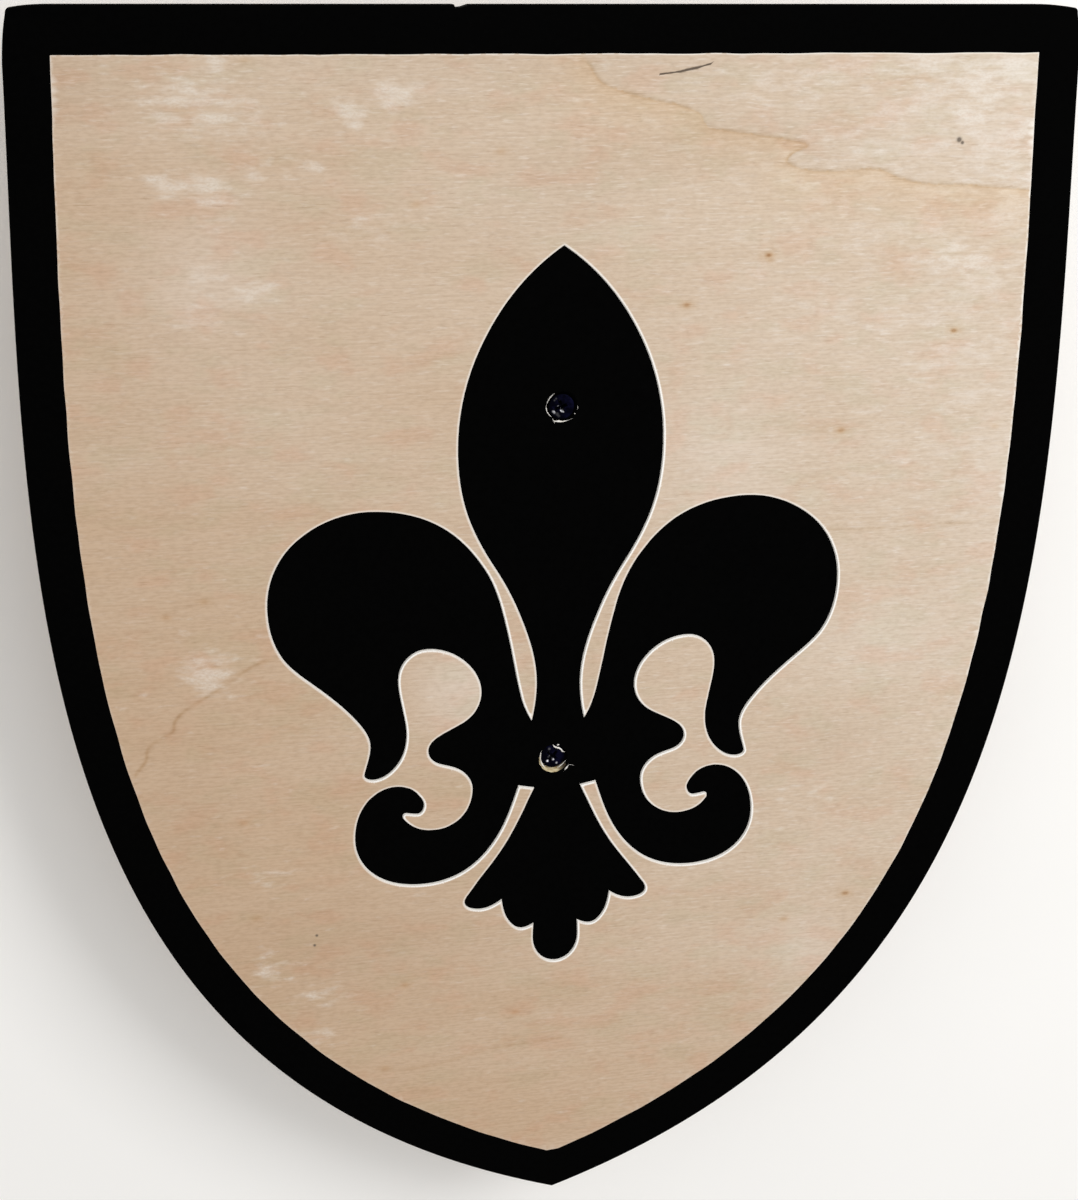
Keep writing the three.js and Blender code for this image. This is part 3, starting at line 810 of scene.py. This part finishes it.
def bored_wood():
    finish = Finish("bored_wood")
    fibre = finish.noise((0.5, 1.6, 1.6), 3)
    colour = finish.mix(finish.rise(fibre, 0.35, 0.65), (0.72, 0.64, 0.42), (0.42, 0.32, 0.17))
    # Darker towards the right: the bare wood fades to nearly black from x = -0.5 to 2.2 mm.
    across = finish.node("SeparateXYZ", {}, {"Vector": finish.place()})
    darker_rightwards = finish.rise(across, -0.5, 2.2)
    colour = finish.mix(darker_rightwards * 0.93, colour, (0.03, 0.02, 0.012))
    return finish.surface(colour, 0.8, Specular_IOR_Level=0.2, Normal=finish.bump(fibre, 0.1))


def black_paint():
    finish = Finish("black_paint")
    fibre = finish.noise((0.20, 1.6, 1), 3)
    mottle = finish.noise((0.5, 0.5, 0.5), 4, (5, 5, 5))
    colour = finish.mix(mottle, (0.0004, 0.0004, 0.0004), (0.0014, 0.0014, 0.0014))
    return finish.surface(
        colour, mottle * 0.25 + 0.55, Specular_IOR_Level=0.008,
        Normal=finish.bump(fibre * 0.6 + mottle * 0.4, 0.06),
    )


paint = black_paint()
board = skin.piece("plywood_board", [plywood(), torn_wood(), paint, bored_wood()])
mark_veneer(board.data)
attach(board, "root")
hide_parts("board")


# ---- Paint ---------------------------------------------------------------------------------
# Dead flat black paint in a thin film: one on the border, which wraps round the board's edge
# a little way onto the back, and one on the floor of the lily.

FILM = 0.05
FILM_SUNK = 0.02
BACK_REACH = 3.0

film = Skin()
outer = edge_layers(outline, FILM)
inner = edge_layers(outline, -FILM_SUNK)
reach = BACK_REACH + ragged(outline, 0.9, 28) + ragged(outline, 0.3, 11)
outer_end = (grown(outline, -ARRIS - reach), BACK - FILM)
inner_end = (outer_end[0], BACK + FILM_SUNK)
film.fill([outer[-1][0], border], outer[-1][1])
film.stack([outer_end, *outer])
film.stack([inner_end, *inner][::-1])
film.strip(*inner_end, *outer_end)
film.fill([inner[-1][0], border], inner[-1][1], facing_up=False)
film.strip(border, outer[-1][1], border, inner[-1][1])
border_paint = film.piece("border_paint", [paint])
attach(border_paint, "root")

film = Skin()
film_top, film_foot = ENGRAVING_FLOOR + FILM, ENGRAVING_FLOOR - FILM_SUNK
film.fill([lily_foot, *hole_mouths.values()], film_top)
film.fill([lily_foot, *hole_mouths.values()], film_foot, facing_up=False)
film.strip(lily_foot, film_foot, lily_foot, film_top)
for torn in hole_mouths.values():
    film.strip(torn, film_top, torn, film_foot)
lily_paint = film.piece("lily_paint", [paint])
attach(lily_paint, "root")


# ---- Screws --------------------------------------------------------------------------------
# Two black wood screws with a bugle head, a cross recess and a coarse thread, driven in
# through the face until their heads sank below the lily's floor.

HEAD_TOP = FACE - 1.1
HEAD_DEPTH = 3.4
HEAD_RIM = 0.5
HEAD_ROUND = 0.2
NECK_RADIUS = 1.4875
SHANK_RADIUS = 1.4
THREAD_ROOT = 1.25
THREAD_CREST = 1.9
THREAD_PITCH = 1.9
THREAD_LENGTH = 21
SCREW_LENGTH = 32
SCREW_POINT = 5
BLADE = ((0.9, 0.3, -2.3), (2.4, 0.55, 0), (2.4, 0.55, 0.5))    # half span, half width, height
RECESS_TURNS = {"screw_upper": 20, "screw_lower": 50}

# Painted glints on the heads, laid as bright bare-metal spots: (x, y) from the screw's middle,
# radius, how bright it is.
GLINT_SPOTS = {
    "screw_upper": [
        (-0.1, -1.2, 0.36, 1), (0.25, -1.5, 0.38, 1), (0.6, -1.75, 0.25, 1),
        (-1.1, 0.05, 0.4, 0.45), (-2.65, -1.45, 0.38, 0.4), (-2.3, -1.85, 0.38, 0.4),
        (-2.3, 2, 0.3, 0.06), (-1.8, 2.6, 0.3, 0.06), (-1.4, -2.3, 0.6, 0.05),
        (-0.9, -2.9, 0.5, 0.04),
    ],
    "screw_lower": [
        (-1.8, -1.6, 0.42, 0.7), (0.1, -1.2, 0.42, 0.45), (1.25, -2.45, 0.35, 0.5),
        (-1.2, 2.6, 0.45, 0.1), (-1.5, -0.2, 0.25, 0.07), (-1.1, 0.2, 0.25, 0.07),
        (-0.7, 0.7, 0.25, 0.07),
    ],
}


def screw_layers():
    """The screw as (loop, height) layers from its tip up to the middle of its head."""
    steps = 48
    turns = np.arange(steps) / steps
    tip = HEAD_TOP - SCREW_LENGTH
    layers = []
    for rise in np.arange(0, SCREW_LENGTH - HEAD_DEPTH, THREAD_PITCH / 10):
        taper = min(1, rise / SCREW_POINT)
        fade = min(1, max(0, (THREAD_LENGTH - rise) / 2))
        crest = np.abs((rise / THREAD_PITCH - turns) % 1 - 0.5) * 2
        thread = np.clip(crest * 2.2 - 1.2, 0, 1) * (THREAD_CREST - THREAD_ROOT)
        core = THREAD_ROOT if rise < THREAD_LENGTH else SHANK_RADIUS
        layers.append((ring((0, 0), (core + thread * fade) * taper, steps), tip + rise))
    for share in np.linspace(0, 1, 8):
        radius = NECK_RADIUS + (HEAD_RADIUS - NECK_RADIUS) * share ** 2
        height = HEAD_TOP - HEAD_DEPTH + (HEAD_DEPTH - HEAD_RIM) * share
        layers.append((ring((0, 0), radius, steps), height))
    for angle in np.radians([0, 30, 60, 90]):
        radius = HEAD_RADIUS - HEAD_ROUND * (1 - math.cos(angle))
        height = HEAD_TOP - HEAD_ROUND * (1 - math.sin(angle))
        layers.append((ring((0, 0), radius, steps), height))
    layers += [(ring((0, 0), radius, steps), HEAD_TOP) for radius in (2.9, 1.5, 0)]
    return layers


def recess_cutter():
    """The cross that a driver bit fits: two crossed blades that narrow as they go down."""
    cutter = Skin()
    square = np.array([(-1, -1), (1, -1), (1, 1), (-1, 1)])
    for crossed in (False, True):
        layers = []
        for half_span, half_width, height in BLADE:
            blade = square * (half_span, half_width)
            blade = blade[:, ::-1][::-1] if crossed else blade
            layers.append((blade, HEAD_TOP + height))
        cutter.fill([layers[0][0]], layers[0][1], facing_up=False)
        cutter.stack(layers)
        cutter.fill([layers[-1][0]], layers[-1][1])
    return cutter.piece("recess_cutter", [])


def with_recess(blank):
    """The screw's mesh with the cross cut out of its head."""
    cutter = recess_cutter()
    cut = blank.modifiers.new("recess", "BOOLEAN")
    cut.operation = "DIFFERENCE"
    cut.solver = "EXACT"
    cut.use_self = True
    cut.object = cutter
    cut_blank = blank.evaluated_get(bpy.context.evaluated_depsgraph_get())
    cut_mesh = bpy.data.meshes.new_from_object(cut_blank)
    blank.modifiers.clear()
    bpy.data.objects.remove(cutter)
    return cut_mesh


def black_steel():
    finish = Finish("black_steel")
    mottle = finish.noise((1.6, 1.6, 1.6), 3)
    dull = finish.noise((0.35, 0.35, 0.35), 2, (2, 9, 4))
    colour = finish.mix(mottle, (0.0006, 0.0006, 0.002), (0.002, 0.002, 0.007))
    colour = finish.mix(finish.rise(dull, 0.5, 0.7) * 0.5, colour, (0.006, 0.006, 0.028))
    # Painted glints: bright metal spots mixed into the black where the heads catch the light.
    painted_glints = 0
    for name, (x, y) in SCREWS.items():
        for across, along, size, strength in GLINT_SPOTS[name]:
            ends = {0: finish.place((1, 1, 0)), 1: (x + across, y + along, 0)}
            away = finish.node("VectorMath", {"operation": "DISTANCE"}, ends, "Value")
            painted_glints = finish.rise(away + mottle * 0.3, size + 0.3, size * 0.6) * strength + painted_glints
    colour = finish.mix(painted_glints, colour, (0.92, 0.93, 1.0))
    return finish.surface(
        colour, mottle * 0.2 + 0.3, Metallic=0.9, Specular_IOR_Level=0.05,
        Normal=finish.bump(mottle, 0.04),
    )


steel = black_steel()
blank_skin = Skin()
blank_skin.stack(screw_layers())
blank = blank_skin.piece("screw_blank", [steel], sharp_angle=40)
screw_mesh = with_recess(blank)
bpy.data.objects.remove(blank)
for name, (x, y) in SCREWS.items():
    mesh = screw_mesh.copy()
    turned = Matrix.Rotation(math.radians(RECESS_TURNS[name]), 4, "Z")
    mesh.transform(Matrix.Translation((x * MM, y * MM, 0)) @ turned)
    driven = bpy.data.objects.new(f"wood_{name}", mesh)
    scene.collection.objects.link(driven)
    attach(driven, "root")
    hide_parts(name)


# ---- Grip ----------------------------------------------------------------------------------
# A bow grip sawn from one piece of softwood, its long edges rounded by hand. The two screws
# hold its feet against the board's back.

GRIP_LENGTH = 142
GRIP_WIDTH = 24
BAR_THICKNESS = 15
FINGER_LENGTH = 88
NOSE_RADIUS = 16
FINGER_RADIUS = 6
GRIP_ROUND = 4
GRIP_WAVE = 0.12            # how high the hand-sanded wave stands, and how long it is
GRIP_WAVE_LENGTH = 14


def grip_side():
    """The grip's side view, x along it and y up from the ground, with legs left too long."""
    half, finger = GRIP_LENGTH / 2, FINGER_LENGTH / 2
    leg_top = BACK + 2 * GRIP_ROUND
    corner = np.radians(np.linspace(0, 90, 12))
    quarter = np.column_stack([np.sin(corner), 1 - np.cos(corner)])
    nose = (half - NOSE_RADIUS, 0) + quarter * NOSE_RADIUS
    inner = (finger - FINGER_RADIUS, BAR_THICKNESS) + quarter * FINGER_RADIUS
    right = [*nose, (half, leg_top), (finger, leg_top), *inner[::-1]]
    left = [(-x, y) for x, y in right[::-1]]
    corners = np.array([*right, *left])
    loop = []
    for start, end in zip(corners, np.roll(corners, -1, axis=0)):
        steps = max(1, round(np.hypot(*(end - start)) / 3))
        loop += [start + (end - start) * step / steps for step in range(steps)]
    return np.array(loop)


def grip_layers():
    side = grip_side()
    layers = []
    for angle in np.radians(np.linspace(0, 90, 7)):
        inset = GRIP_ROUND * (1 - math.sin(angle))
        layers.append((grown(side, -inset), GRIP_WIDTH / 2 - GRIP_ROUND * (1 - math.cos(angle))))
    middle = [(side, width) for width in np.linspace(-6, 6, 5)]
    lower = [(loop, -width) for loop, width in layers]
    return [*lower, *middle, *layers[::-1]]


def softwood():
    finish = Finish("softwood")
    drift = finish.noise((0.02, 0.004, 0.02), 2)
    rings = finish.node(
        "TexWave", {"wave_type": "RINGS", "rings_direction": "Y"},
        {"Vector": finish.place((0.16, 0.002, 0.16), (1.8, 0, -3.4)), "Scale": 1.0,
         "Distortion": 1.4, "Detail": 2.0, "Detail Scale": 0.6}, "Fac",
    )
    late = finish.rise(rings, 0.55, 0.95)
    colour = finish.mix(drift, (0.56, 0.38, 0.215), (0.64, 0.455, 0.28))
    colour = finish.tint(late * 0.75, colour, (0.78, 0.66, 0.52))
    fibre = finish.noise((1.8, 0.05, 1.8), 3)
    colour = finish.tint(finish.rise(fibre, 0.45, 0.65), colour, (0.88, 0.84, 0.78))
    handled = finish.noise((0.03, 0.03, 0.03), 3, (9, 2, 4))
    colour = finish.tint(finish.rise(handled, 0.45, 0.7) * 0.5, colour, (0.86, 0.80, 0.72))
    return finish.surface(
        colour, fibre * 0.2 + 0.5, Specular_IOR_Level=0.35,
        Normal=finish.bump(fibre * 0.6 + late * 0.4, 0.08),
    )


def grip_turn():
    """Stands the grip's side view up, and turns and moves it onto its two screws."""
    (upper_x, upper_y), (lower_x, lower_y) = SCREWS.values()
    lean = Matrix.Rotation(-math.atan2(upper_x - lower_x, upper_y - lower_y), 4, "Z")
    stand = Matrix(((0, 0, 1, 0), (1, 0, 0, 0), (0, 1, 0, 0), (0, 0, 0, 1)))
    middle = ((upper_x + lower_x) / 2, (upper_y + lower_y) / 2, 0)
    return Matrix.Translation(middle) @ lean @ stand


def finish_by_hand(mesh):
    """Saws the legs off flat at the board's back and gives the wood a hand-sanded wave."""
    work = bmesh.new()
    work.from_mesh(mesh)
    everything = [*work.verts, *work.edges, *work.faces]
    bmesh.ops.bisect_plane(
        work, geom=everything, plane_co=(0, 0, BACK * MM), plane_no=(0, 0, 1), clear_outer=True,
    )
    bmesh.ops.holes_fill(work, edges=[edge for edge in work.edges if edge.is_boundary])
    for vertex in work.verts:
        place = vertex.co / MM
        if 1 < place.z < BACK - 1:
            vertex.co += vertex.normal * noise.noise(place / GRIP_WAVE_LENGTH) * GRIP_WAVE * MM
    work.to_mesh(mesh)
    work.free()


grip_skin = Skin()
layers = grip_layers()
grip_skin.fill([layers[0][0]], layers[0][1], facing_up=False)
grip_skin.stack(layers)
grip_skin.fill([layers[-1][0]], layers[-1][1])
grip = grip_skin.piece("bow_grip", [softwood()], grip_turn())
finish_by_hand(grip.data)
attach(grip, "root")
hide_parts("grip")
